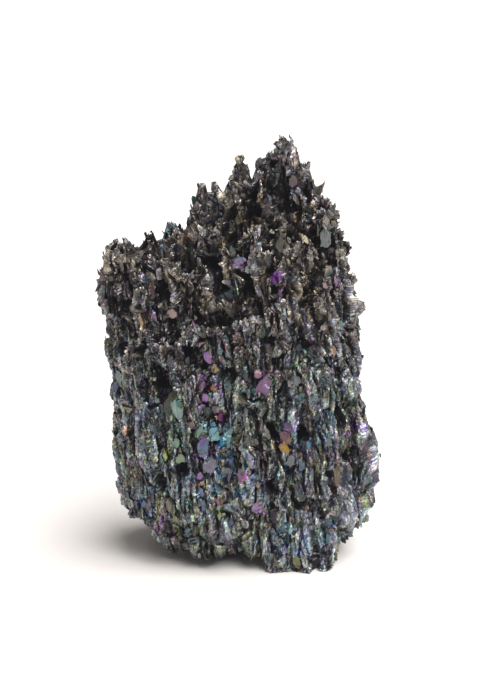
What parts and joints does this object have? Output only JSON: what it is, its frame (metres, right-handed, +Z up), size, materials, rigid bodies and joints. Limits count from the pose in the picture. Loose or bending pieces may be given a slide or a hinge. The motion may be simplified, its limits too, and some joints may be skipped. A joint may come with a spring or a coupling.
{
  "type": "silicon carbide crystal mass",
  "caption": "Upright mass of intergrown dark, iridescent crystal laths and plates, with a stepped crown of spires and a flat underside that it stands on.",
  "frame": {"origin": "under the middle of the bounding box, on the surface that the mass stands on", "axes": "+Z up along the growth of the crystals, +X to the right across the front, +Y from the front to the back"},
  "size_m": [0.0604, 0.0414, 0.0897],
  "materials": {
    "iridescent_crystal": "black submetallic crystal faces under a thin glassy film that shows interference colours"
  },
  "bodies": {
    "root": {"silicon_carbide_crystal": "iridescent_crystal"}
  },
  "joints": []
}
